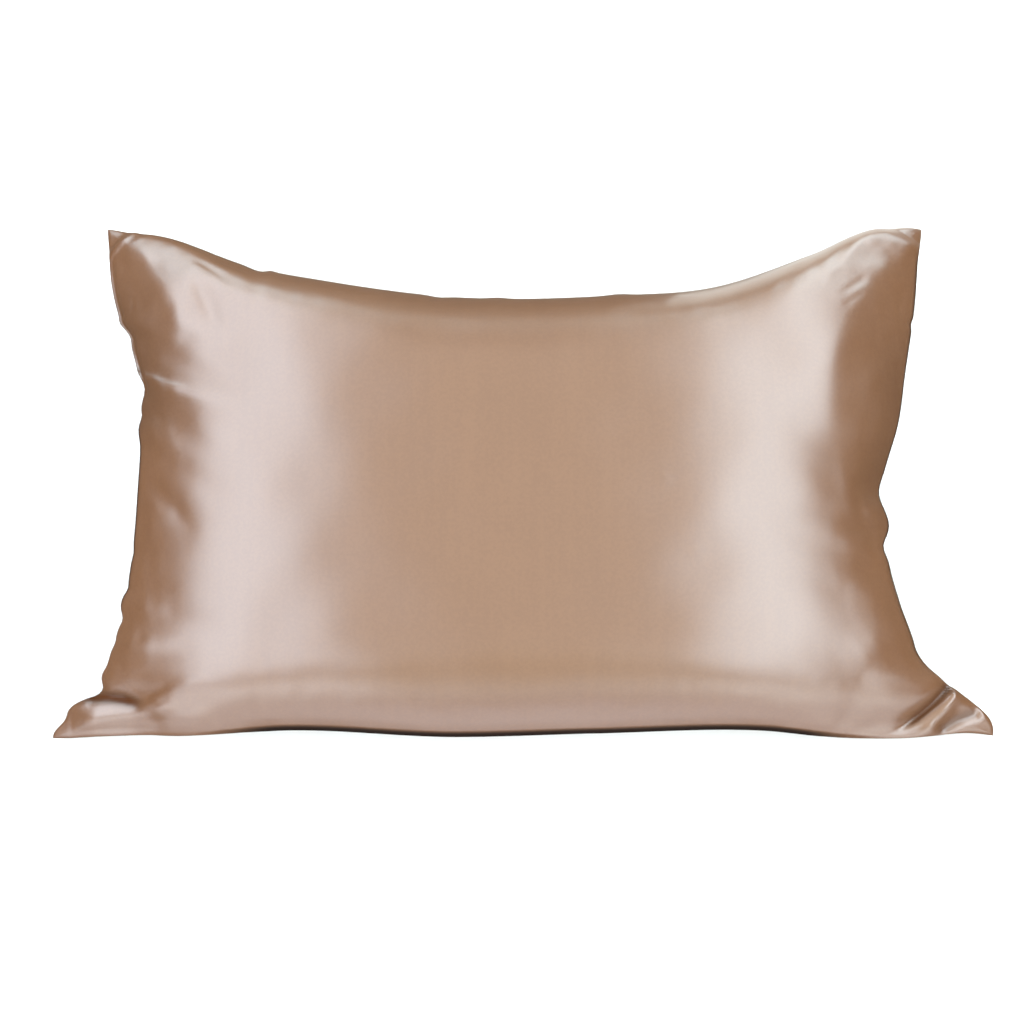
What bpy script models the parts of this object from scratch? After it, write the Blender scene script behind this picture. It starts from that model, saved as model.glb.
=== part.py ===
"""A satin pillowcase filled by its pillow, lying on its back: one closed soft solid.

The case is cut 762 x 508 mm and drawn in on all four sides by the filling. Its two top corners
stand up as flattened ears; its two bottom corners are empty cloth that has sunk to the surface.
Metres, +X along the long sides, +Y towards the top edge, +Z up out of the face.
"""
import bpy
import numpy as np

for leftover in list(bpy.data.objects):
    bpy.data.objects.remove(leftover, do_unlink=True)

# ---- driving sizes ------------------------------------------------------------------------------
FRONT_CROWN = 0.081         # how far the face swells above the level of the seam
BACK_BELLY = 0.096          # how far the back would swell below it, were there nothing to lie on
CONTACT_ROUNDING = 0.005    # height over which the back rounds into the flat it rests on
SIDE_FIRMNESS = 3.8         # higher: flatter in the middle and rounder at the short sides
TOP_FIRMNESS = 5.6          # the same towards the top edge
BOTTOM_FIRMNESS = 5.0       # the same towards the bottom edge
TOP_CORNER_FULLNESS = 0.65  # higher: corners filled out further towards their tips
LOW_CORNER_FULLNESS = 5.0
CLOTH_HALF_THICKNESS = 0.0018   # two layers and their turnings, where the corners are empty
SEAM_ROUNDING = 0.004       # width over which the seam reaches that thickness
SEAM_TUCK = 0.0028          # how deep the seam sinks between the two panels at the bottom edge
GROOVE_WIDTH = 0.0035       # distance from the seam at which the panels bulge out again
FOLD_DEPTH_ON_BACK = 0.022  # how far in from the seam the face's folds still show on the back
NICK_REACH = 0.022          # how far in from the seam a nick in the outline is felt

COLUMNS = 66                # cells along the length
ROWS = 42                   # cells across the width
EDGE_CROWDING = 0.62        # 0: even cells, towards 1: finer at the seams

# Corners of the filled body, and the points that the cloth's own corners reach.
CORNERS = {
    # name:       body (x, y),       tip (x, y),        reach of the pull
    "low_left":  ((-0.335, -0.186), (-0.379, -0.191), 0.043),
    "low_right": ((0.318, -0.188),  (0.378, -0.190),  0.066),
    "top_right": ((0.327, 0.223),   (0.330, 0.227),   0.030),
    "top_left":  ((-0.341, 0.226),  (-0.344, 0.229),  0.030),
}

# Each side runs between two corners and is drawn in towards the middle of the pillow.
# Stations: share of the way along, drawn in, height of the seam above the surface.
SIDES = {
    "bottom": ("low_left", "low_right", (0.0, 1.0), (
        (0.00, 0.000, 0.006),
        (0.09, -0.007, 0.034),
        (0.22, -0.003, 0.054),
        (0.43, -0.009, 0.066),
        (0.60, -0.006, 0.067),
        (0.80, -0.002, 0.056),
        (0.93, -0.006, 0.030),
        (1.00, 0.000, 0.006),
    )),
    "top": ("top_left", "top_right", (0.0, -1.0), (
        (0.00, 0.000, 0.034),
        (0.07, 0.010, 0.049),
        (0.18, 0.041, 0.073),
        (0.27, 0.055, 0.082),
        (0.43, 0.070, 0.087),
        (0.62, 0.068, 0.087),
        (0.74, 0.060, 0.084),
        (0.86, 0.029, 0.071),
        (0.95, 0.000, 0.050),
        (1.00, 0.000, 0.034),
    )),
    "left": ("low_left", "top_left", (1.0, 0.0), (
        (0.00, 0.000, 0.006),
        (0.11, 0.004, 0.041),
        (0.21, 0.017, 0.054),
        (0.31, 0.025, 0.063),
        (0.45, 0.030, 0.068),
        (0.62, 0.031, 0.067),
        (0.72, 0.025, 0.063),
        (0.80, 0.012, 0.057),
        (0.90, 0.002, 0.047),
        (1.00, 0.000, 0.034),
    )),
    "right": ("low_right", "top_right", (-1.0, 0.0), (
        (0.00, 0.000, 0.006),
        (0.15, 0.007, 0.049),
        (0.24, 0.021, 0.059),
        (0.33, 0.031, 0.066),
        (0.42, 0.034, 0.068),
        (0.50, 0.032, 0.068),
        (0.59, 0.022, 0.067),
        (0.70, 0.015, 0.063),
        (0.85, 0.005, 0.052),
        (1.00, 0.000, 0.034),
    )),
}

# Where the filling doesn't reach the empty lower corners: a flat apron of cloth with the body's foot
# behind it. Middle x, y; reach along the bottom edge and up from it; share of the crown missing.
APRONS = (
    (-0.326, -0.196, 0.075, 0.020, 0.80),
    (0.322, -0.196, 0.080, 0.024, 0.80),
)

# Small nicks and knobs in the outline: side, share along, half width along the seam, drawn in.
NICKS = (
    ("left", 0.028, 0.005, 0.0025),
    ("left", 0.052, 0.006, -0.0050),    # roll of the empty corner
    ("left", 0.074, 0.005, 0.0050),     # pinch over the empty corner
    ("left", 0.100, 0.006, -0.0035),
    ("left", 0.235, 0.009, -0.003),
    ("left", 0.570, 0.009, -0.002),
    ("left", 0.655, 0.010, 0.005),      # pinch under the ear
    ("left", 0.765, 0.008, 0.003),
    ("right", 0.036, 0.014, -0.0035),   # blunt tip of the empty corner
    ("right", 0.345, 0.008, 0.003),
    ("right", 0.390, 0.011, -0.004),    # knob beside the waist
    ("right", 0.455, 0.014, 0.004),
    ("top", 0.190, 0.009, 0.002),
    ("top", 0.625, 0.010, -0.001),
    ("bottom", 0.975, 0.014, 0.004),
)

# Folds in the face. Each follows a line, bowed to its left by bow, with the half widths of its left
# and right flanks. Height: + ridge, - trough. Fades: share of the line over which it starts and ends.
FOLDS = (
    # from x, y        to x, y           bow     left    right   height   fade in, out
    # top left ear: its ridge, the short fold off the notch in the side, and the hollow below that
    (-0.324, 0.221, -0.243, 0.100, 0.000, 0.045, 0.020, 0.0080, 0.15, 0.60),
    (-0.322, 0.101, -0.222, 0.056, -0.004, 0.006, 0.010, 0.0080, 0.05, 0.95),
    (-0.310, 0.070, -0.255, 0.044, 0.003, 0.010, 0.012, -0.0016, 0.05, 0.60),
    # top right ear: its bowed ridge, and the fullness below its tip
    (0.322, 0.215, 0.240, 0.021, -0.031, 0.022, 0.050, 0.0070, 0.10, 0.60),
    (0.322, 0.224, 0.300, 0.150, 0.000, 0.014, 0.022, 0.0055, 0.05, 0.80),
    # left side: a slanting crease, and a hollow above the empty corner
    (-0.300, 0.010, -0.252, -0.046, 0.000, 0.008, 0.010, -0.0011, 0.30, 0.50),
    (-0.318, -0.096, -0.270, -0.078, 0.004, 0.010, 0.012, -0.0014, 0.05, 0.70),
    # bottom left corner: a pinch, the roll of empty cloth under it with a swelling at its end, and
    # the soft line along its top
    (-0.346, -0.160, -0.300, -0.169, 0.003, 0.008, 0.009, -0.0055, 0.15, 0.45),
    (-0.362, -0.179, -0.222, -0.188, 0.003, 0.010, 0.014, 0.0085, 0.22, 0.50),
    (-0.292, -0.162, -0.284, -0.182, 0.000, 0.026, 0.012, 0.0036, 0.40, 0.50),
    (-0.304, -0.178, -0.210, -0.184, -0.003, 0.009, 0.009, -0.0014, 0.20, 0.70),
    # right side: a slanting crease, the swelling under it, then a hollow, a ridge and a hollow
    (0.296, 0.020, 0.262, -0.030, -0.006, 0.010, 0.010, -0.0036, 0.05, 0.50),
    (0.290, -0.020, 0.240, 0.012, 0.003, 0.010, 0.009, 0.0022, 0.10, 0.70),
    (0.292, -0.031, 0.240, -0.037, 0.000, 0.008, 0.010, -0.0032, 0.05, 0.80),
    (0.292, -0.046, 0.242, -0.051, 0.000, 0.008, 0.008, 0.0014, 0.05, 0.80),
    (0.290, -0.068, 0.244, -0.074, 0.000, 0.012, 0.010, -0.0014, 0.05, 0.70),
    # bottom right corner: fullness down its side, the hollow across that, a deep crease, and a
    # shallow one in the empty cloth
    (0.292, -0.070, 0.280, -0.188, 0.000, 0.035, 0.030, 0.0042, 0.70, 0.25),
    (0.334, -0.134, 0.268, -0.143, 0.000, 0.009, 0.016, -0.0036, 0.10, 0.85),
    (0.342, -0.151, 0.295, -0.188, 0.003, 0.009, 0.011, -0.0065, 0.25, 0.45),
    (0.368, -0.171, 0.328, -0.190, -0.002, 0.008, 0.009, -0.0030, 0.25, 0.35),
)


# ---- the outline --------------------------------------------------------------------------------
def through_stations(rows, column, share):
    """A smooth curve through one column of a side's stations, read at the given shares."""
    knots = np.array([row[0] for row in rows])
    values = np.array([row[column] for row in rows])
    slopes = np.gradient(values, knots)
    cell = np.clip(np.searchsorted(knots, share, side="right") - 1, 0, len(knots) - 2)
    span = knots[cell + 1] - knots[cell]
    t = (share - knots[cell]) / span
    return ((1 + 2 * t) * (1 - t) ** 2 * values[cell] + t * (1 - t) ** 2 * span * slopes[cell]
            + t ** 2 * (3 - 2 * t) * values[cell + 1] + t ** 2 * (t - 1) * span * slopes[cell + 1])


def side_outline(side, share):
    """Plan points of one drawn-in side."""
    start, end, inward, stations = SIDES[side]
    first = np.array(CORNERS[start][0])
    last = np.array(CORNERS[end][0])
    share = np.asarray(share)[..., None]
    drawn_in = through_stations(stations, 1, share)
    return first + (last - first) * share + np.array(inward) * drawn_in


def side_height(side, share):
    """Height of the seam along one side."""
    return through_stations(SIDES[side][3], 2, np.asarray(share))


def plan(p, q):
    """Plan points at share p of the length and q of the width, spanned between the four sides."""
    p1, q1 = p[..., None], q[..., None]
    body = {name: np.array(row[0]) for name, row in CORNERS.items()}
    between_long_sides = (1 - q1) * side_outline("bottom", p) + q1 * side_outline("top", p)
    between_short_sides = (1 - p1) * side_outline("left", q) + p1 * side_outline("right", q)
    corners = ((1 - p1) * (1 - q1) * body["low_left"] + p1 * (1 - q1) * body["low_right"]
               + (1 - p1) * q1 * body["top_left"] + p1 * q1 * body["top_right"])
    return between_long_sides + between_short_sides - corners


def seam_level(p, q):
    """Height of the seam, carried across the inside by closeness to each side."""
    total = 0.0
    weights = 0.0
    for side, share, distance in (("bottom", p, q), ("top", p, 1 - q), ("left", q, p), ("right", q, 1 - p)):
        weight = 1 / (distance ** 2 + 1e-9)
        total = total + weight * side_height(side, share)
        weights = weights + weight
    return total / weights


def pull_corners(points):
    """Draw the cloth's corners out of the filled body."""
    moved = points.copy()
    for body, tip, reach in CORNERS.values():
        distance = np.hypot(*np.moveaxis(points - np.array(body), -1, 0))
        nearness = np.cos(np.pi / 2 * np.minimum(distance / reach, 1)) ** 2
        moved += nearness[..., None] * (np.array(tip) - np.array(body))
    return moved


def nick_outline(points, p, q):
    """Pull the outline in or out where the seam puckers."""
    length = CORNERS["low_right"][0][0] - CORNERS["low_left"][0][0]
    width = CORNERS["top_left"][0][1] - CORNERS["low_left"][0][1]
    for side, along, half_width, drawn_in in NICKS:
        share, distance, side_length = {
            "bottom": (p, q * width, length),
            "top": (p, (1 - q) * width, length),
            "left": (q, p * length, width),
            "right": (q, (1 - p) * length, width),
        }[side]
        pucker = np.exp(-((share - along) * side_length / half_width) ** 2 - distance / NICK_REACH)
        points = points + (drawn_in * pucker)[..., None] * np.array(SIDES[side][2])
    return points


# ---- the filled form ----------------------------------------------------------------------------
def swell(across, firmness):
    """Rise of a filled cover, from 0 at its two edges (-1 and 1) to 1 midway."""
    return (np.cosh(firmness) - np.cosh(firmness * across)) / (np.cosh(firmness) - 1)


def crown(p, q):
    """Share of the full crown, 0 along the seam, emptier towards the top corners."""
    lengthways = np.maximum(swell(2 * p - 1, SIDE_FIRMNESS), 1e-6)
    towards_top = swell(2 * q - 1, TOP_FIRMNESS)
    towards_bottom = swell(2 * q - 1, BOTTOM_FIRMNESS)
    widthways = np.maximum(np.where(q > 0.5, towards_top, towards_bottom), 1e-6)
    m = LOW_CORNER_FULLNESS + (TOP_CORNER_FULLNESS - LOW_CORNER_FULLNESS) * ease(q)
    return (lengthways ** -m + widthways ** -m - 1) ** (-1 / m)


def filled(points):
    """Share of the crown that is left round the empty corners, at the given plan points."""
    share = np.ones(points.shape[:-1])
    for x, y, reach_along, reach_up, missing in APRONS:
        away = ((points[..., 0] - x) / reach_along) ** 2 + ((points[..., 1] - y) / reach_up) ** 2
        share *= 1 - missing * np.exp(-away)
    return share


def ease(t):
    """Smooth step from 0 to 1."""
    t = np.clip(t, 0, 1)
    return t * t * (3 - 2 * t)


def fold_relief(points):
    """Height that the folds add to the face at the given plan points."""
    relief = np.zeros(points.shape[:-1])
    for x0, y0, x1, y1, bow, left, right, height, fade_in, fade_out in FOLDS:
        start = np.array((x0, y0))
        line = np.array((x1, y1)) - start
        length = np.hypot(*line)
        ahead = line / length
        leftward = np.array((-ahead[1], ahead[0]))
        t = (points - start) @ ahead / length
        along = np.clip(t, 0, 1)
        aside = (points - start) @ leftward - bow * 4 * along * (1 - along)
        past_end = (t - along) * length
        half_width = np.where(aside > 0, left, right)
        section = np.exp(-(aside / half_width) ** 2 - (past_end / min(left, right)) ** 2)
        relief += height * section * ease((along + 0.05) / fade_in) * ease((1.05 - along) / fade_out)
    return relief


def rest_on_surface(height):
    """Level off what would reach below the surface, with a rounded start to the flat."""
    rounding = CONTACT_ROUNDING
    curved = (height + rounding) ** 2 / (4 * rounding)
    return np.where(height > rounding, height, np.where(height < -rounding, 0.0, curved))


def crowded(count):
    """Shares from 0 to 1, closer together near both ends."""
    even = np.linspace(0, 1, count + 1)
    return even - EDGE_CROWDING * np.sin(2 * np.pi * even) / (2 * np.pi)


def face_and_back():
    """The two panels as grids of points that share their rim."""
    p, q = np.meshgrid(crowded(COLUMNS), crowded(ROWS))
    flat = nick_outline(pull_corners(plan(p, q)), p, q)
    length = CORNERS["low_right"][0][0] - CORNERS["low_left"][0][0]
    width = CORNERS["top_left"][0][1] - CORNERS["low_left"][0][1]
    to_seam = np.minimum(np.minimum(p, 1 - p) * length, np.minimum(q, 1 - q) * width)
    level = seam_level(p, q)
    relief = fold_relief(flat)
    cloth = CLOTH_HALF_THICKNESS * (1 - np.exp(-to_seam / SEAM_ROUNDING))

    # along the bottom edge the seam lies in a groove between the face and the bulging back
    from_bottom = q * width / GROOVE_WIDTH
    tuck = SEAM_TUCK * ease(p / 0.25) * ease((1 - p) / 0.2)
    groove = tuck * np.exp(-from_bottom ** 2)
    bulge = tuck * from_bottom * np.exp(1 - from_bottom)

    back_level = level + relief * np.exp(-to_seam / FOLD_DEPTH_ON_BACK) - cloth
    height_of_back = rest_on_surface(back_level - BACK_BELLY * crown(p, q))
    back = np.dstack((flat, height_of_back))
    back[..., 1] += groove - bulge

    # the face stays clear of the back where a fold crosses the empty corners
    height_of_face = level + FRONT_CROWN * crown(p, q) * filled(flat) + relief + cloth
    face = np.dstack((flat, np.maximum(height_of_face, height_of_back + cloth)))
    face[..., 1] += groove
    return face, back


def pillowcase_mesh():
    """One closed mesh: the face, the back turned over, and the rim that they share."""
    face, back = face_and_back()
    rows, columns = face.shape[:2]
    points = [tuple(point) for point in face.reshape(-1, 3)]
    number_on_face = np.arange(rows * columns).reshape(rows, columns)
    number_on_back = number_on_face.copy()
    for row in range(1, rows - 1):
        for column in range(1, columns - 1):
            number_on_back[row, column] = len(points)
            points.append(tuple(back[row, column]))

    # each cell is two triangles, split along the diagonal that points to the nearest corner of the case
    triangles = []
    for row in range(rows - 1):
        for column in range(columns - 1):
            rising = (row < rows / 2) == (column < columns / 2)
            for numbers, turned_over in ((number_on_face, False), (number_on_back, True)):
                a, b = numbers[row, column], numbers[row, column + 1]
                c, d = numbers[row + 1, column + 1], numbers[row + 1, column]
                for triangle in ((a, b, c), (a, c, d)) if rising else ((a, b, d), (b, c, d)):
                    triangles.append(triangle[::-1] if turned_over else triangle)

    # the origin lies under the middle of the box around it, at the height of the surface
    points = np.array(points)
    points[:, :2] -= (points[:, :2].min(axis=0) + points[:, :2].max(axis=0)) / 2

    mesh = bpy.data.meshes.new("pillowcase")
    mesh.from_pydata(points.tolist(), [], triangles)
    mesh.update()
    mesh.shade_smooth()
    return mesh


def satin():
    """Champagne satin."""
    material = bpy.data.materials.new("champagne_satin")
    material.use_nodes = True
    shader = material.node_tree.nodes["Principled BSDF"]
    shader.inputs["Base Color"].default_value = (0.46, 0.31, 0.21, 1.0)
    shader.inputs["Roughness"].default_value = 0.4
    shader.inputs["Metallic"].default_value = 0.0
    return material


pillowcase = bpy.data.objects.new("pillowcase", pillowcase_mesh())
pillowcase.data.materials.append(satin())
bpy.context.scene.collection.objects.link(pillowcase)
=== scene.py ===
"""A champagne satin pillowcase, filled by its pillow and lying on its back."""

import bpy
import numpy as np
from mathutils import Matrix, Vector


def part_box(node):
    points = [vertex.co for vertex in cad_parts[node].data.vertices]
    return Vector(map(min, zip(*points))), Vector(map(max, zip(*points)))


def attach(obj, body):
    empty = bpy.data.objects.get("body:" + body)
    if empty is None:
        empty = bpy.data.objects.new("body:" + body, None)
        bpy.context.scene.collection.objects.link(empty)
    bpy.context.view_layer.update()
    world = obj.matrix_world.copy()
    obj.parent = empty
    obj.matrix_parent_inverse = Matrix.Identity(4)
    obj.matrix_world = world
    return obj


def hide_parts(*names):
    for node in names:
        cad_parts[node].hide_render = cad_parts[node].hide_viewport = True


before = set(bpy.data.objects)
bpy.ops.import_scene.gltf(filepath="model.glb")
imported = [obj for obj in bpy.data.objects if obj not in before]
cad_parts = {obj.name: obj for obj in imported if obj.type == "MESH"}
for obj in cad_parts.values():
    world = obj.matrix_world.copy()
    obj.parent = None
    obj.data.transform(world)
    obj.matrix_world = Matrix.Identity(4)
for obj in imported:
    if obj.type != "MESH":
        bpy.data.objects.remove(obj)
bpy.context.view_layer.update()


# ---- Filled case --------------------------------------------------------------------------------
# One satin case, 762 x 508 mm flat, closed round a soft pillow: two panels sewn face to face and
# turned right side out. The filling draws its sides in, the top corners stand up as flattened ears,
# and the bottom corners are empty cloth that has sunk to the surface.

FRONT_CROWN = 0.081         # how far the face swells above the level of the seam
BACK_BELLY = 0.096          # how far the back would swell below it, were there nothing to lie on
CONTACT_ROUNDING = 0.005    # height over which the back rounds into the flat it rests on
SIDE_FIRMNESS = 3.8         # higher: flatter in the middle and rounder at the short sides
TOP_FIRMNESS = 5.6          # the same towards the top edge
BOTTOM_FIRMNESS = 5.0       # the same towards the bottom edge
TOP_CORNER_FULLNESS = 0.65  # higher: corners filled out further towards their tips
LOW_CORNER_FULLNESS = 5.0
CLOTH_HALF_THICKNESS = 0.0018   # two layers and their turnings, where the corners are empty
SEAM_ROUNDING = 0.0032      # width over which the seam reaches that thickness
SLIT_DEPTH = 0.0080         # how deep the bottom seam sinks between the face and the bulging back
SLIT_WIDTH = 0.0025         # how far the back bulges out past that seam
SLIT_START = (0.11, 0.10)   # share along the bottom where the slit starts, share over which it opens
SLIT_END = (0.94, 0.09)     # the same where it ends
SLIT_WALL_OF_FACE = 0.0012  # how far in from the seam the face drops into the slit
SLIT_WALL_OF_BACK = 0.0018
SLIT_SHADE_ON_FACE = 0.0022     # how far in from the seam the slit's painted shadow reaches
SLIT_SHADE_ON_BACK = 0.0080
FOLD_DEPTH_ON_BACK = 0.022  # how far in from the seam the face's folds still show on the back
NICK_REACH = 0.022          # how far in from the seam a nick in the outline is felt
FOLD_OVERRUN = 0.05         # share of its line by which a fold starts early and ends late

COLUMNS = 264               # cells along the length
ROWS = 172                  # cells across the width
EDGE_CROWDING = 0.78        # 0: even cells, towards 1: finer at the seams

# Corners of the filled body, and the points that the cloth's own corners reach.
CORNERS = {
    # name:       body (x, y),       tip (x, y),        reach of the pull
    "low_left":  ((-0.335, -0.186), (-0.379, -0.191), 0.043),
    "low_right": ((0.318, -0.188),  (0.378, -0.190),  0.066),
    "top_right": ((0.327, 0.223),   (0.330, 0.227),   0.030),
    "top_left":  ((-0.341, 0.226),  (-0.344, 0.229),  0.030),
}
LENGTH = CORNERS["low_right"][0][0] - CORNERS["low_left"][0][0]
WIDTH = CORNERS["top_left"][0][1] - CORNERS["low_left"][0][1]

# Each side runs between two corners and is drawn in towards the middle of the pillow.
# Stations: share of the way along, drawn in, height of the seam above the surface.
SIDES = {
    "bottom": ("low_left", "low_right", (0.0, 1.0), (
        (0.00, 0.000, 0.006),
        (0.09, -0.007, 0.034),
        (0.22, -0.003, 0.054),
        (0.43, -0.009, 0.066),
        (0.60, -0.006, 0.067),
        (0.80, -0.002, 0.056),
        (0.93, -0.006, 0.030),
        (1.00, 0.000, 0.006),
    )),
    "top": ("top_left", "top_right", (0.0, -1.0), (
        (0.00, 0.000, 0.034),
        (0.07, 0.010, 0.049),
        (0.18, 0.041, 0.073),
        (0.27, 0.055, 0.082),
        (0.43, 0.070, 0.087),
        (0.62, 0.068, 0.087),
        (0.74, 0.060, 0.084),
        (0.86, 0.029, 0.071),
        (0.95, 0.000, 0.050),
        (1.00, 0.000, 0.034),
    )),
    "left": ("low_left", "top_left", (1.0, 0.0), (
        (0.00, 0.000, 0.006),
        (0.11, 0.004, 0.041),
        (0.21, 0.017, 0.054),
        (0.31, 0.025, 0.063),
        (0.45, 0.030, 0.068),
        (0.62, 0.031, 0.067),
        (0.72, 0.025, 0.063),
        (0.80, 0.012, 0.057),
        (0.90, 0.002, 0.047),
        (1.00, 0.000, 0.034),
    )),
    "right": ("low_right", "top_right", (-1.0, 0.0), (
        (0.00, 0.000, 0.006),
        (0.15, 0.007, 0.049),
        (0.24, 0.021, 0.059),
        (0.33, 0.031, 0.066),
        (0.42, 0.034, 0.068),
        (0.50, 0.032, 0.068),
        (0.59, 0.022, 0.067),
        (0.70, 0.015, 0.063),
        (0.85, 0.005, 0.052),
        (1.00, 0.000, 0.034),
    )),
}

# Where the filling doesn't reach the empty lower corners: a flat apron of cloth with the body's foot
# behind it. Middle, reach along the bottom edge and up from it, share of the crown that is missing.
APRONS = (
    (-0.326, -0.196, 0.075, 0.020, 0.80),
    (0.322, -0.196, 0.080, 0.024, 0.80),
)

# Stretches where the seam's flat edge shows beside the body.
# Side, from and to in shares along it, how wide the flat edge is.
FLAT_EDGES = (
    ("left", 0.62, 0.95, 0.0042),
    ("left", 0.06, 0.14, 0.0024),
    ("right", 0.10, 0.34, 0.0032),
    ("right", 0.72, 0.97, 0.0022),
)
FLAT_EDGE_FADE = 0.05       # share of the side over which a flat edge starts and ends

# Painted shade along the sides: a thin dark line at the seam, and darker cloth at the turn beside it.
# Side, from and to in shares, shade, how far in it reaches, share over which it starts and ends.
PAINTED_SIDE_SHADE = (
    ("left", 0.20, 0.62, 0.75, 0.0017, 0.05),
    ("right", 0.10, 0.97, 0.80, 0.0017, 0.05),
    ("left", 0.48, 0.94, 0.26, 0.030, 0.15),
    ("right", 0.30, 0.86, 0.26, 0.030, 0.20),
)

# Small nicks and knobs in the outline: side, share along, half width along the seam, drawn in.
NICKS = (
    ("left", 0.028, 0.005, 0.0025),
    ("left", 0.052, 0.006, -0.0050),    # roll of the empty corner
    ("left", 0.074, 0.005, 0.0050),     # pinch over the empty corner
    ("left", 0.100, 0.006, -0.0035),
    ("left", 0.160, 0.005, 0.0012),
    ("left", 0.205, 0.005, 0.0015),
    ("left", 0.235, 0.009, -0.003),
    ("left", 0.262, 0.004, 0.0012),
    ("left", 0.330, 0.005, 0.0008),
    ("left", 0.570, 0.009, -0.002),
    ("left", 0.600, 0.004, 0.0010),
    ("left", 0.655, 0.010, 0.005),      # pinch under the ear
    ("left", 0.765, 0.008, 0.003),
    ("left", 0.795, 0.004, -0.0012),
    ("right", 0.036, 0.014, -0.0035),   # blunt tip of the empty corner
    ("right", 0.345, 0.008, 0.003),
    ("right", 0.390, 0.011, -0.004),    # knob beside the waist
    ("right", 0.455, 0.014, 0.004),
    ("right", 0.800, 0.004, 0.0012),
    ("top", 0.190, 0.009, 0.002),
    ("top", 0.205, 0.004, -0.0012),
    ("top", 0.410, 0.008, 0.0012),
    ("top", 0.480, 0.009, -0.0010),
    ("top", 0.625, 0.010, -0.001),
    ("bottom", 0.975, 0.014, 0.004),
)

# Folds in the face. Each follows a line, bowed to its left by bow, with the half widths of its left
# and right flanks. Height: + ridge, - trough. Fades: share of the line over which it starts and ends.
FOLDS = (
    # from x, y        to x, y           bow     left    right   height   fade in, out
    # top left ear: its ridge, the short fold off the notch in the side, and the hollow below that
    (-0.324, 0.221, -0.243, 0.100, 0.000, 0.045, 0.020, 0.0080, 0.15, 0.60),
    (-0.322, 0.101, -0.222, 0.056, -0.004, 0.0045, 0.010, 0.0080, 0.05, 0.95),
    (-0.310, 0.070, -0.255, 0.044, 0.003, 0.010, 0.012, -0.0016, 0.05, 0.60),
    # top right ear: its bowed ridge, and the fullness below its tip
    (0.322, 0.215, 0.240, 0.021, -0.031, 0.022, 0.050, 0.0070, 0.10, 0.60),
    (0.322, 0.224, 0.300, 0.150, 0.000, 0.016, 0.026, 0.0050, 0.05, 0.80),
    # left side: a slanting crease, and a hollow above the empty corner
    (-0.300, 0.010, -0.252, -0.046, 0.000, 0.005, 0.008, -0.0011, 0.30, 0.50),
    (-0.318, -0.096, -0.270, -0.078, 0.004, 0.010, 0.012, -0.0014, 0.05, 0.70),
    # bottom left corner: a pinch, the roll of empty cloth under it with a swelling at its end, and
    # the soft line along its top
    (-0.346, -0.160, -0.300, -0.169, 0.003, 0.0038, 0.0055, -0.0062, 0.15, 0.45),
    (-0.362, -0.179, -0.222, -0.188, 0.003, 0.010, 0.014, 0.0085, 0.22, 0.50),
    (-0.292, -0.162, -0.284, -0.182, 0.000, 0.026, 0.012, 0.0036, 0.40, 0.50),
    (-0.304, -0.178, -0.210, -0.184, -0.003, 0.007, 0.006, -0.0014, 0.20, 0.70),
    # right side: a slanting crease, the swelling under it, then a hollow, a ridge and a hollow
    (0.296, 0.020, 0.262, -0.030, -0.006, 0.010, 0.010, -0.0036, 0.05, 0.50),
    (0.290, -0.020, 0.240, 0.012, 0.003, 0.010, 0.009, 0.0022, 0.10, 0.70),
    (0.292, -0.031, 0.240, -0.037, 0.000, 0.007, 0.010, -0.0032, 0.05, 0.80),
    (0.292, -0.046, 0.242, -0.051, 0.000, 0.008, 0.006, 0.0014, 0.05, 0.80),
    (0.290, -0.068, 0.244, -0.074, 0.000, 0.012, 0.010, -0.0014, 0.05, 0.70),
    # bottom right corner: fullness down its side, the hollow across that, a deep crease, the ridge
    # beside it, and a shallow crease in the empty cloth
    (0.292, -0.070, 0.280, -0.188, 0.000, 0.035, 0.030, 0.0042, 0.70, 0.25),
    (0.334, -0.134, 0.268, -0.143, 0.000, 0.009, 0.016, -0.0036, 0.10, 0.85),
    (0.342, -0.151, 0.295, -0.188, 0.003, 0.0034, 0.0058, -0.0080, 0.15, 0.40),
    (0.346, -0.157, 0.318, -0.190, 0.003, 0.0050, 0.0045, 0.0036, 0.15, 0.30),
    (0.368, -0.171, 0.328, -0.190, -0.002, 0.0050, 0.0065, -0.0038, 0.20, 0.30),
)

# Painted shade, tinted as painted light of the satin's own colour, deep in the creases of the two
# lower corners. The columns are those of FOLDS, with the share of the effect in place of the height.
CREASE_SHADE_LINES = (
    # from x, y        to x, y           bow     left    right   share   fade in, out
    (-0.350, -0.161, -0.299, -0.170, 0.003, 0.0030, 0.0052, 1.00, 0.12, 0.35),
    (0.342, -0.151, 0.302, -0.187, 0.002, 0.0028, 0.0040, 0.80, 0.15, 0.40),
    (0.364, -0.172, 0.330, -0.190, -0.002, 0.0030, 0.0036, 0.45, 0.20, 0.30),
)

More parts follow.
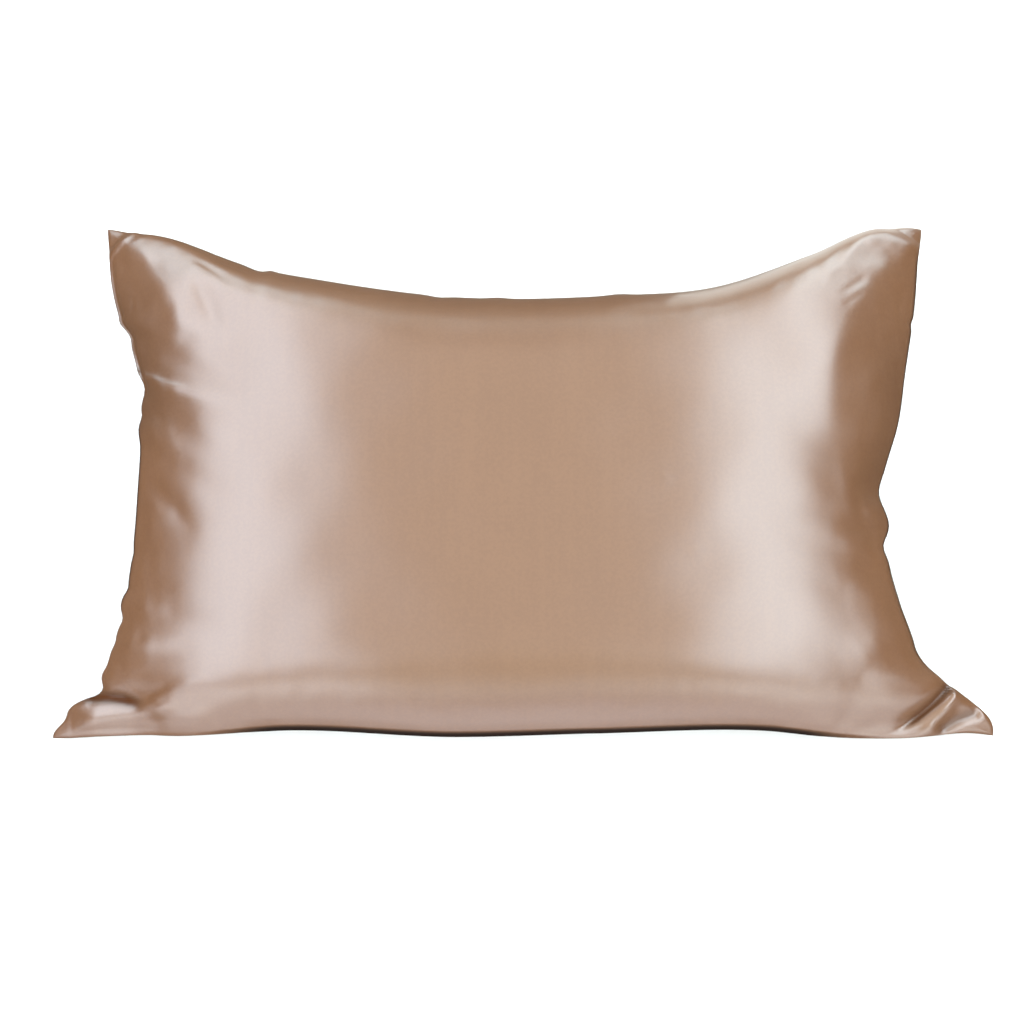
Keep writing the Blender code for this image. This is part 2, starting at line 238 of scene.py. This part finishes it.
# Creases too fine for the solid, in the columns of FOLDS.
FINE_CREASES = (
    # from x, y        to x, y           bow     left    right   height   fade in, out
    # top left ear: the turned-over tip, a short dent, a soft hollow and the swelling below it, and the
    # pair of creases along the top edge
    (-0.347, 0.192, -0.312, 0.228, 0.002, 0.0045, 0.0045, 0.0034, 0.10, 0.10),
    (-0.316, 0.160, -0.317, 0.142, 0.001, 0.0020, 0.0030, -0.0006, 0.30, 0.30),
    (-0.262, 0.168, -0.240, 0.120, 0.000, 0.0070, 0.0070, -0.0009, 0.30, 0.50),
    (-0.279, 0.148, -0.277, 0.108, 0.000, 0.0100, 0.0120, 0.0014, 0.40, 0.40),
    (-0.254, 0.190, -0.210, 0.169, 0.000, 0.0034, 0.0034, -0.0010, 0.30, 0.40),
    (-0.268, 0.188, -0.228, 0.157, 0.001, 0.0034, 0.0030, -0.0009, 0.30, 0.50),
    # top right ear: two slanted creases
    (0.278, 0.173, 0.252, 0.151, 0.000, 0.0034, 0.0032, -0.0006, 0.30, 0.40),
    (0.274, 0.158, 0.254, 0.141, 0.000, 0.0024, 0.0028, -0.0005, 0.30, 0.40),
    # left side: shallow gathers that run in from the seam
    (-0.316, -0.050, -0.268, -0.056, 0.002, 0.008, 0.007, -0.0008, 0.20, 0.60),
    (-0.322, -0.106, -0.275, -0.100, 0.002, 0.006, 0.007, 0.0006, 0.20, 0.50),
    (-0.326, -0.122, -0.262, -0.128, -0.002, 0.009, 0.010, 0.0016, 0.10, 0.50),
    (-0.328, -0.138, -0.262, -0.142, 0.000, 0.008, 0.008, -0.0012, 0.20, 0.50),
    # middle of the face: faint marks where the satin has been folded
    (0.102, -0.004, 0.114, -0.014, 0.001, 0.0030, 0.0040, 0.0003, 0.30, 0.50),
    (0.128, -0.060, 0.138, -0.068, 0.000, 0.0030, 0.0030, 0.0002, 0.30, 0.50),
)


def through_stations(rows, column, share):
    """A smooth curve through one column of a side's stations, read at the given shares."""
    knots = np.array([row[0] for row in rows])
    values = np.array([row[column] for row in rows])
    slopes = np.gradient(values, knots)
    cell = np.clip(np.searchsorted(knots, share, side="right") - 1, 0, len(knots) - 2)
    span = knots[cell + 1] - knots[cell]
    t = (share - knots[cell]) / span
    return ((1 + 2 * t) * (1 - t) ** 2 * values[cell] + t * (1 - t) ** 2 * span * slopes[cell]
            + t ** 2 * (3 - 2 * t) * values[cell + 1] + t ** 2 * (t - 1) * span * slopes[cell + 1])


def side_outline(side, share):
    """Plan points of one drawn-in side."""
    start, end, inward, stations = SIDES[side]
    first = np.array(CORNERS[start][0])
    last = np.array(CORNERS[end][0])
    share = np.asarray(share)[..., None]
    drawn_in = through_stations(stations, 1, share)
    return first + (last - first) * share + np.array(inward) * drawn_in


def side_height(side, share):
    """Height of the seam along one side."""
    return through_stations(SIDES[side][3], 2, np.asarray(share))


def plan(p, q):
    """Plan points at share p of the length and q of the width, spanned between the four sides."""
    p1, q1 = p[..., None], q[..., None]
    body = {name: np.array(row[0]) for name, row in CORNERS.items()}
    between_long_sides = (1 - q1) * side_outline("bottom", p) + q1 * side_outline("top", p)
    between_short_sides = (1 - p1) * side_outline("left", q) + p1 * side_outline("right", q)
    corners = ((1 - p1) * (1 - q1) * body["low_left"] + p1 * (1 - q1) * body["low_right"]
               + (1 - p1) * q1 * body["top_left"] + p1 * q1 * body["top_right"])
    return between_long_sides + between_short_sides - corners


def seam_level(p, q):
    """Height of the seam, carried across the inside by closeness to each side."""
    total = 0.0
    weights = 0.0
    for side, share, distance in (("bottom", p, q), ("top", p, 1 - q),
                                  ("left", q, p), ("right", q, 1 - p)):
        weight = 1 / (distance ** 2 + 1e-9)
        total = total + weight * side_height(side, share)
        weights = weights + weight
    return total / weights


def pull_corners(points):
    """Draw the cloth's corners out of the filled body."""
    moved = points.copy()
    for body, tip, reach in CORNERS.values():
        distance = np.hypot(*np.moveaxis(points - np.array(body), -1, 0))
        nearness = np.cos(np.pi / 2 * np.minimum(distance / reach, 1)) ** 2
        moved += nearness[..., None] * (np.array(tip) - np.array(body))
    return moved


def nick_outline(points, p, q):
    """Pull the outline in or out where the seam puckers."""
    for side, along, half_width, drawn_in in NICKS:
        share, distance, side_length = {
            "bottom": (p, q * WIDTH, LENGTH),
            "top": (p, (1 - q) * WIDTH, LENGTH),
            "left": (q, p * LENGTH, WIDTH),
            "right": (q, (1 - p) * LENGTH, WIDTH),
        }[side]
        pucker = np.exp(-((share - along) * side_length / half_width) ** 2 - distance / NICK_REACH)
        points = points + (drawn_in * pucker)[..., None] * np.array(SIDES[side][2])
    return points


def swell(across, firmness):
    """Rise of a filled cover, from 0 at its two edges (-1 and 1) to 1 midway."""
    return (np.cosh(firmness) - np.cosh(firmness * across)) / (np.cosh(firmness) - 1)


def ease(t):
    """Smooth step from 0 to 1."""
    t = np.clip(t, 0, 1)
    return t * t * (3 - 2 * t)


def crown(p, q):
    """Share of the full crown, 0 along the seam, emptier towards the top corners."""
    lengthways = np.maximum(swell(2 * p - 1, SIDE_FIRMNESS), 1e-6)
    towards_top = swell(2 * q - 1, TOP_FIRMNESS)
    towards_bottom = swell(2 * q - 1, BOTTOM_FIRMNESS)
    widthways = np.maximum(np.where(q > 0.5, towards_top, towards_bottom), 1e-6)
    m = LOW_CORNER_FULLNESS + (TOP_CORNER_FULLNESS - LOW_CORNER_FULLNESS) * ease(q)
    return (lengthways ** -m + widthways ** -m - 1) ** (-1 / m)


def filled(points):
    """Share of the crown that is left round the empty corners, at the given plan points."""
    share = np.ones(points.shape[:-1])
    for x, y, reach_along, reach_up, missing in APRONS:
        away = ((points[..., 0] - x) / reach_along) ** 2 + ((points[..., 1] - y) / reach_up) ** 2
        share *= 1 - missing * np.exp(-away)
    return share


def beside_flat_edge(p, q):
    """Share of the crown that is left where the seam's flat edge shows."""
    share = np.ones(p.shape)
    for side, start, end, wide in FLAT_EDGES:
        distance = (p if side == "left" else 1 - p) * LENGTH
        shown = ease((q - start) / FLAT_EDGE_FADE) * ease((end - q) / FLAT_EDGE_FADE)
        share *= 1 - shown * np.exp(-(distance / wide) ** 4)
    return share


def painted_side_shade(p, q):
    """Painted shade of the two short sides, along their seams and beside them."""
    shade = np.zeros(p.shape)
    for side, start, end, deep, reach, fade in PAINTED_SIDE_SHADE:
        distance = (p if side == "left" else 1 - p) * LENGTH
        shown = ease((q - start) / fade) * ease((end - q) / fade)
        shade = np.maximum(shade, deep * shown * np.exp(-(distance / reach) ** 2))
    return shade


def fold_relief(points, folds):
    """Height that a table's folds add to the face at the given plan points."""
    relief = np.zeros(points.shape[:-1])
    for x0, y0, x1, y1, bow, left, right, height, fade_in, fade_out in folds:
        start = np.array((x0, y0))
        line = np.array((x1, y1)) - start
        length = np.hypot(*line)
        ahead = line / length
        leftward = np.array((-ahead[1], ahead[0]))
        t = (points - start) @ ahead / length
        along = np.clip(t, 0, 1)
        aside = (points - start) @ leftward - bow * 4 * along * (1 - along)
        past_end = (t - along) * length
        half_width = np.where(aside > 0, left, right)
        section = np.exp(-(aside / half_width) ** 2 - (past_end / min(left, right)) ** 2)
        shown = ease((along + FOLD_OVERRUN) / fade_in) * ease((1 + FOLD_OVERRUN - along) / fade_out)
        relief += height * section * shown
    return relief


def rest_on_surface(height):
    """Level off what would reach below the surface, with a rounded start to the flat."""
    rounding = CONTACT_ROUNDING
    curved = (height + rounding) ** 2 / (4 * rounding)
    return np.where(height > rounding, height, np.where(height < -rounding, 0.0, curved))


def crowded(count):
    """Shares from 0 to 1, closer together near both ends."""
    even = np.linspace(0, 1, count + 1)
    return even - EDGE_CROWDING * np.sin(2 * np.pi * even) / (2 * np.pi)


def waves(points, shortest, longest, count, seed):
    """Soft unevenness, mostly between -1 and 1: crossing waves with random directions and starts."""
    draw = np.random.default_rng(seed)
    total = np.zeros(points.shape[:-1])
    for _ in range(count):
        length = np.exp(draw.uniform(np.log(shortest), np.log(longest)))
        turn = draw.uniform(0, 2 * np.pi)
        start = draw.uniform(0, 2 * np.pi)
        along = points @ np.array((np.cos(turn), np.sin(turn)))
        total += np.sin(2 * np.pi * along / length + start)
    return total / np.sqrt(count)


DRAPE_DEPTH = 0.00034       # unevenness of the filling, felt through the cloth
DRAPE_LENGTHS = (0.050, 0.130)
DRAPE_START = 0.010         # how far in from the seam that unevenness sets in
PUCKER_DEPTH = 0.0006       # gathers where the side seams pull the cloth in
PUCKER_REACH = 0.016
PUCKER_LENGTHS = (0.010, 0.028)
GATHER_DEPTH = 0.0009       # longer gathers from the same seams, between these distances from them
GATHER_START = 0.012
GATHER_REACH = 0.055
GATHER_LENGTHS = (0.022, 0.060)
GATHER_SLANT = 0.5          # below 1: the gathers run mostly straight in from the sides
SEAM_ROLL = 0.00012         # the turned seam stands up as a narrow roll, with a hollow behind it
ROLL_WIDTH = 0.0016
HOLLOW_AT = 0.0048


def seam_puckers(p, q, to_seam):
    """Small gathers along the seams, dying away into the cloth."""
    around = np.dstack((p * LENGTH, q * WIDTH))
    return PUCKER_DEPTH * np.exp(-to_seam / PUCKER_REACH) * waves(around, *PUCKER_LENGTHS, 14, 5)


def side_gathers(p, q):
    """Longer, softer gathers that the two drawn-in sides send into the face."""
    from_side = np.minimum(p, 1 - p) * LENGTH
    fade = np.exp(-(from_side / GATHER_REACH) ** 2) * (1 - np.exp(-(from_side / GATHER_START) ** 2))
    around = np.dstack((p * LENGTH * GATHER_SLANT, q * WIDTH))
    return GATHER_DEPTH * fade * waves(around, *GATHER_LENGTHS, 9, 11)


def face_and_back():
    """The two panels as grids of points that share their rim, the painted shade on each, and the
    painted shade in the creases.
    """
    p, q = np.meshgrid(crowded(COLUMNS), crowded(ROWS))
    flat = nick_outline(pull_corners(plan(p, q)), p, q)
    to_seam = np.minimum(np.minimum(p, 1 - p) * LENGTH, np.minimum(q, 1 - q) * WIDTH)
    level = seam_level(p, q)
    crown_share = crown(p, q) * filled(flat) * beside_flat_edge(p, q)
    relief = fold_relief(flat, FOLDS) + fold_relief(flat, FINE_CREASES)
    off_seam = 1 - np.exp(-(to_seam / DRAPE_START) ** 2)
    relief += DRAPE_DEPTH * off_seam * waves(flat, *DRAPE_LENGTHS, 16, 3)
    relief += side_gathers(p, q)
    relief += seam_puckers(p, q, to_seam) * off_seam ** 0.5
    cloth = CLOTH_HALF_THICKNESS * (1 - np.exp(-to_seam / SEAM_ROUNDING))
    roll = SEAM_ROLL * (np.exp(-((to_seam - ROLL_WIDTH) / ROLL_WIDTH) ** 2)
                        - np.exp(-((to_seam - HOLLOW_AT) / ROLL_WIDTH) ** 2))

    # along the bottom edge the seam lies in a slit between the face and the bulging back
    open_slit = ease((p - SLIT_START[0]) / SLIT_START[1]) * ease((SLIT_END[0] - p) / SLIT_END[1])
    from_bottom = q * WIDTH
    drop_of_face = SLIT_DEPTH * open_slit * np.exp(-(from_bottom / SLIT_WALL_OF_FACE) ** 2)
    drop_of_back = SLIT_DEPTH * open_slit * np.exp(-(from_bottom / SLIT_WALL_OF_BACK) ** 2)
    out = from_bottom / SLIT_WIDTH
    bulge = SLIT_WIDTH * open_slit * out ** 2 * np.exp(1 - out ** 2)

    back_level = level + relief * np.exp(-to_seam / FOLD_DEPTH_ON_BACK) - cloth - drop_of_back
    height_of_back = rest_on_surface(back_level - BACK_BELLY * crown(p, q))
    back = np.dstack((flat, height_of_back))
    back[..., 1] -= bulge
    height_of_face = level + FRONT_CROWN * crown_share + relief + cloth + roll - drop_of_face
    face = np.dstack((flat, np.maximum(height_of_face, height_of_back + cloth)))

    # painted shade along the two short sides
    side_shade = painted_side_shade(p, q)
    # painted shadow in and under the bottom slit
    in_slit_on_face = open_slit * np.exp(-(from_bottom / SLIT_SHADE_ON_FACE) ** 4)
    in_slit_on_back = open_slit * np.exp(-(from_bottom / SLIT_SHADE_ON_BACK) ** 2)
    shade_on_face = np.maximum(in_slit_on_face, side_shade)
    shade_on_back = np.maximum(in_slit_on_back, side_shade)
    # painted shade deep in the creases of the lower corners
    crease_shade = fold_relief(flat, CREASE_SHADE_LINES)
    return face, back, shade_on_face, shade_on_back, crease_shade


def panel_mesh():
    """One closed mesh: the face, the back turned over, and the rim that they share."""
    face, back, shade_on_face, shade_on_back, crease_shade = face_and_back()
    rows, columns = face.shape[:2]
    number_on_face = np.arange(rows * columns).reshape(rows, columns)
    number_on_back = number_on_face.copy()
    inside = (slice(1, rows - 1), slice(1, columns - 1))
    inside_count = (rows - 2) * (columns - 2)
    number_on_back[inside] = rows * columns + np.arange(inside_count).reshape(rows - 2, -1)
    points = np.concatenate((face.reshape(-1, 3), back[inside].reshape(-1, 3)))
    shade = np.concatenate((shade_on_face.ravel(), shade_on_back[inside].ravel()))
    crease_shade = np.concatenate((crease_shade.ravel(), 0 * crease_shade[inside].ravel()))

    quads = []
    for numbers, order in ((number_on_face, (0, 1, 2, 3)), (number_on_back, (3, 2, 1, 0))):
        corners = (numbers[:-1, :-1], numbers[:-1, 1:], numbers[1:, 1:], numbers[1:, :-1])
        quads.append(np.stack([corners[i].ravel() for i in order], axis=-1))
    quads = np.concatenate(quads)

    # the middle of the case lies where the solid's middle is
    low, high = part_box("pillowcase")
    middle = (points.min(axis=0) + points.max(axis=0)) / 2
    points[:, 0] += (low.x + high.x) / 2 - middle[0]
    points[:, 1] += (low.y + high.y) / 2 - middle[1]

    mesh = bpy.data.meshes.new("satin_case")
    mesh.from_pydata(points.tolist(), [], quads.tolist())
    mesh.update()
    mesh.shade_smooth()
    # masks of the painted shade, read by the material
    for name, values in (("seam_shadow", shade), ("painted_crease_shade", crease_shade)):
        attribute = mesh.attributes.new(name, "FLOAT", "POINT")
        attribute.data.foreach_set("value", values.astype(np.float32))
    return mesh, middle


class Wire:
    """An output of a shader tree; arithmetic on it adds Math nodes."""

    def __init__(self, tree, socket=None):
        self.tree = tree
        self.socket = socket

    def node(self, kind, settings=None, inputs=None, output=0):
        """Add a node, set it up, feed its sockets with values or wires, and give its output."""
        made = self.tree.nodes.new(kind)
        for name, value in (settings or {}).items():
            setattr(made, name, value)
        for name, value in (inputs or {}).items():
            if isinstance(value, Wire):
                self.tree.links.new(value.socket, made.inputs[name])
            else:
                made.inputs[name].default_value = value
        return Wire(self.tree, made.outputs[output] if made.outputs else None)

    def maths(self, operation, *values):
        return self.node("ShaderNodeMath", {"operation": operation}, dict(enumerate(values)))

    def __add__(self, other):
        return self.maths("ADD", self, other)

    def __sub__(self, other):
        return self.maths("SUBTRACT", self, other)

    def __rsub__(self, other):
        return self.maths("SUBTRACT", other, self)

    def __mul__(self, other):
        return self.maths("MULTIPLY", self, other)

    __radd__ = __add__
    __rmul__ = __mul__


THREAD_PITCH = 0.0011       # satin threads, gathered into ribs wide enough to see
SATIN_TONE = (0.134, 0.056, 0.021, 1.0)
SATIN_DEEP = (0.120, 0.048, 0.017, 1.0)
CREASE_SHADE_TONE = (0.070, 0.021, 0.005, 1.0)    # painted shade deep in a fold, in the colour of satin lit by itself
# colour of the painted shadow in the slit and the painted shade along the sides
PAINTED_SHADE_TONE = (0.008, 0.003, 0.0015, 1.0)
STREAK_WEIGHT = 1.4         # how far streaks across the width and grain shift the tone, beside clouds
GRAIN_WEIGHT = 3.4
TONE_OFFSET = 2.4           # brings the sum of the three to one half on average


def satin():
    """Champagne satin: floating warp threads, so a broad soft gloss over a warm ground."""
    material = bpy.data.materials.new("champagne_satin")
    material.use_nodes = True
    tree = material.node_tree
    tree.nodes.clear()
    start = Wire(tree)

    place = start.node("ShaderNodeTexCoord", output="Object")
    x_y_z = place.node("ShaderNodeSeparateXYZ", inputs={"Vector": place})
    across = Wire(tree, x_y_z.socket.node.outputs["X"])
    up = Wire(tree, x_y_z.socket.node.outputs["Y"])
    turns = 2 * np.pi / THREAD_PITCH
    warp = (across * turns).maths("SINE", across * turns)
    weft = (up * turns).maths("SINE", up * turns)
    cloud = place.node("ShaderNodeTexNoise", inputs={"Vector": place, "Scale": 14.0, "Detail": 3.0})
    grain = place.node("ShaderNodeTexNoise", inputs={"Vector": place, "Scale": 420.0, "Detail": 2.0})
    drawn_out = place.node("ShaderNodeMapping", inputs={"Vector": place, "Scale": (1.0, 0.08, 0.08)})
    streak = place.node("ShaderNodeTexNoise",
                        inputs={"Vector": drawn_out, "Scale": 130.0, "Detail": 2.0})

    blend = cloud + streak * STREAK_WEIGHT + grain * GRAIN_WEIGHT - TONE_OFFSET
    tone = blend.node("ShaderNodeMix", {"data_type": "RGBA"},
                      {"Factor": blend, 6: SATIN_DEEP, 7: SATIN_TONE}, output=2)
    # painted shade: these masks mix in a dark matte cloth for the slit's shadow, the darker sides and
    # the creases
    seam = start.node("ShaderNodeAttribute", {"attribute_name": "seam_shadow"}, output="Fac")
    crease_shade = start.node("ShaderNodeAttribute", {"attribute_name": "painted_crease_shade"}, output="Fac")
    shade = tone.node("ShaderNodeMix", {"data_type": "RGBA"},
                      {"Factor": crease_shade, 6: PAINTED_SHADE_TONE, 7: CREASE_SHADE_TONE}, output=2)
    height = warp * weft * 0.5 + grain * 0.8
    bump = height.node("ShaderNodeBump",
                       inputs={"Height": height, "Strength": 0.08, "Distance": 0.0004})

    cloth = bump.node("ShaderNodeBsdfPrincipled", inputs={
        "Base Color": tone,
        "Roughness": 0.31 + grain * 0.04,
        "Normal": bump,
        "IOR": 1.6,
        "Specular IOR Level": 1.0,
    })
    shadow = start.node("ShaderNodeBsdfPrincipled", inputs={
        "Base Color": shade,
        "Roughness": 0.9,
        "Specular IOR Level": 0.1,
    })
    shader = start.node("ShaderNodeMixShader", inputs={0: seam + crease_shade, 1: cloth, 2: shadow})
    shader.node("ShaderNodeOutputMaterial", inputs={"Surface": shader})
    return material


case_mesh, case_middle = panel_mesh()
case = bpy.data.objects.new("satin_case", case_mesh)
case.data.materials.append(satin())
bpy.context.scene.collection.objects.link(case)
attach(case, "root")
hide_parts("pillowcase")


# ---- Floor --------------------------------------------------------------------------------------
# A plain white surface that the pillow lies on, wide enough to fill the picture. It is not part of
# the object.

FLOOR_REACH = 4.0
FLOOR_GAP = 0.0004          # keeps the floor clear of the flat on the case's back

floor_corners = [(x * FLOOR_REACH, y * FLOOR_REACH, 0.0)
                 for x, y in ((-1, -1), (1, -1), (1, 1), (-1, 1))]
floor_mesh = bpy.data.meshes.new("floor")
floor_mesh.from_pydata(floor_corners, [], [(0, 1, 2, 3)])
floor = bpy.data.objects.new("floor", floor_mesh)
floor.location.z = -FLOOR_GAP
white = bpy.data.materials.new("white_floor")
white.use_nodes = True
paint = white.node_tree.nodes["Principled BSDF"]
paint.inputs["Base Color"].default_value = (0.78, 0.78, 0.78, 1.0)
paint.inputs["Roughness"].default_value = 0.9
floor.data.materials.append(white)
floor.visible_glossy = False    # the satin's turned edges mirror the studio instead
bpy.context.scene.collection.objects.link(floor)


# ---- Studio light -------------------------------------------------------------------------------
# Two long soft boxes give the satin its two bright bands, and a broad one overhead fills the middle.
# Boxes low at the corners, cards in front and behind, and three panels lying on the table light the
# turned edges and the ears.

SOFT_BOXES = (
    # name        from x, y, z           towards x, y, z       wide, deep, watts, colour
    ("left_box", (-1.14, 0.40, 1.06), (-0.21, 0.40, 0.12), 4.6, 0.85, 66.5, (0.89, 1.00, 1.10)),
    ("right_box", (1.06, 0.40, 1.10), (0.21, 0.40, 0.12), 4.6, 0.70, 63.5, (0.885, 1.00, 1.06)),
    ("left_back", (-1.20, 2.40, 0.40), (-0.20, 0.20, 0.10), 1.6, 0.8, 15.5, (0.77, 1.00, 1.12)),
    ("right_back", (1.40, 2.30, 0.40), (0.20, 0.20, 0.10), 1.8, 0.8, 26.0, (0.79, 1.00, 1.08)),
    ("overhead", (0.0, 0.15, 2.40), (0.0, 0.15, 0.10), 2.2, 5.1, 53.0, (0.99, 0.95, 0.83)),
    ("left_low", (-1.25, -2.00, 0.35), (-0.20, -0.10, 0.10), 1.2, 0.7, 8.8, (0.92, 1.00, 1.08)),
    ("right_low", (1.25, -2.00, 0.35), (0.20, -0.10, 0.10), 1.2, 0.7, 8.0, (0.92, 1.00, 1.02)),
    ("front_high", (0.0, -2.20, 1.40), (0.0, 0.0, 0.10), 1.8, 1.4, 9.0, (0.96, 0.89, 0.67)),
    ("front_low", (0.0, -2.20, 0.40), (0.0, 0.0, 0.10), 2.4, 0.7, 9.0, (0.92, 1.0, 0.99)),
    ("back_card", (0.0, 2.60, 0.85), (0.0, 0.0, 0.10), 3.0, 2.0, 15.0, (0.92, 0.92, 0.80)),
    ("table_front", (0.0, -0.65, 0.003), (0.0, -0.65, 1.0), 1.7, 0.7, 6.4, (0.92, 0.98, 1.07)),
    ("table_back", (0.0, 0.85, 0.003), (0.0, 0.85, 1.0), 2.0, 1.0, 1.3, (0.96, 0.94, 0.82)),
    ("table_back_right", (0.25, 0.42, 0.004), (0.25, 0.42, 1.0), 0.25, 0.40, 0.6, (0.90, 1.0, 0.98)),
)
WORLD_COLOUR = (1.0, 0.94, 0.84, 1.0)
WORLD_BRIGHTNESS = 0.17

for name, place, target, wide, deep, watts, colour in SOFT_BOXES:
    light = bpy.data.lights.new(name, "AREA")
    light.shape = "RECTANGLE"
    light.size = wide
    light.size_y = deep
    light.energy = watts
    light.color = colour
    box = bpy.data.objects.new(name, light)
    box.location = place
    box.rotation_euler = (Vector(target) - Vector(place)).to_track_quat("-Z", "Y").to_euler()
    box.visible_camera = False
    bpy.context.scene.collection.objects.link(box)

world = bpy.data.worlds.new("studio")
world.use_nodes = True
background = world.node_tree.nodes["Background"]
background.inputs["Color"].default_value = WORLD_COLOUR
background.inputs["Strength"].default_value = WORLD_BRIGHTNESS
bpy.context.scene.world = world
bpy.context.scene.view_settings.view_transform = "Standard"


# ---- Camera -------------------------------------------------------------------------------------
# Nearly straight down on the face, a little from its bottom edge.

CAMERA_ELEVATION = np.radians(78.0)
CAMERA_DISTANCE = 2.05
AIM = Vector((-0.0088 - case_middle[0], -0.0160 - case_middle[1], 0.060))

camera = bpy.data.objects.new("camera", bpy.data.cameras.new("camera"))
towards_camera = Vector((0.0, -np.cos(CAMERA_ELEVATION), np.sin(CAMERA_ELEVATION)))
camera.location = AIM + towards_camera * CAMERA_DISTANCE
camera.rotation_euler = (np.pi / 2 - CAMERA_ELEVATION, 0.0, 0.0)
camera.data.lens = 90.1
camera.data.sensor_width = 36.0
bpy.context.scene.collection.objects.link(camera)
bpy.context.scene.camera = camera
